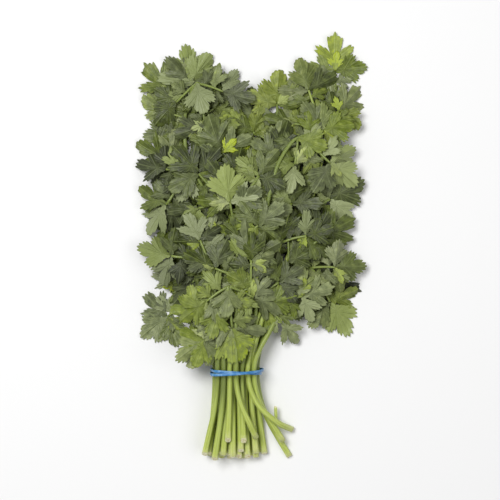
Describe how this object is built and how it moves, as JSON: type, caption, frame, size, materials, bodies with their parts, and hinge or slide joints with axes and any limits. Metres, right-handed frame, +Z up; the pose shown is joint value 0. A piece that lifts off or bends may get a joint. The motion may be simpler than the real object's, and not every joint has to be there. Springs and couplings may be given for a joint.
{
  "type": "parsley bunch",
  "caption": "Bunch of flat-leaf parsley lying down: forked leafy stems with lobed leaflets, held together near their cut ends by a wound elastic band.",
  "frame": {"origin": "middle of the bunch's bounding box, on the surface it lies on", "axes": "+Y from the cut ends of the stalks towards the leaves, +X across the bunch, +Z up from the surface it lies on"},
  "size_m": [0.1658, 0.3032, 0.038],
  "materials": {
    "leaf_deep_green": "satin leaf, deep green",
    "leaf_green": "satin leaf, mid green",
    "leaf_light_green": "satin leaf, light green",
    "blue_rubber": "smooth matt blue rubber"
  },
  "bodies": {
    "root": {"leafy_stem_01": "leaf_green", "leafy_stem_02": "leaf_light_green", "leafy_stem_03": "leaf_deep_green", "leafy_stem_04": "leaf_green", "leafy_stem_05": "leaf_light_green", "leafy_stem_06": "leaf_deep_green", "leafy_stem_07": "leaf_green", "leafy_stem_08": "leaf_light_green", "leafy_stem_09": "leaf_deep_green", "leafy_stem_10": "leaf_green", "leafy_stem_11": "leaf_light_green", "leafy_stem_12": "leaf_deep_green", "leafy_stem_13": "leaf_green", "leafy_stem_14": "leaf_light_green", "leafy_stem_15": "leaf_deep_green", "leafy_stem_16": "leaf_green", "leafy_stem_17": "leaf_light_green", "leafy_stem_18": "leaf_deep_green", "leafy_stem_19": "leaf_green", "leafy_stem_20": "leaf_light_green", "leafy_stem_21": "leaf_deep_green", "leafy_stem_22": "leaf_green", "leafy_stem_23": "leaf_light_green", "leafy_stem_24": "leaf_deep_green", "leafy_stem_25": "leaf_green", "leafy_stem_26": "leaf_light_green", "leafy_stem_27": "leaf_deep_green", "leafy_stem_28": "leaf_green", "leafy_stem_29": "leaf_light_green", "leafy_stem_30": "leaf_deep_green", "elastic_band": "blue_rubber"}
  },
  "joints": []
}
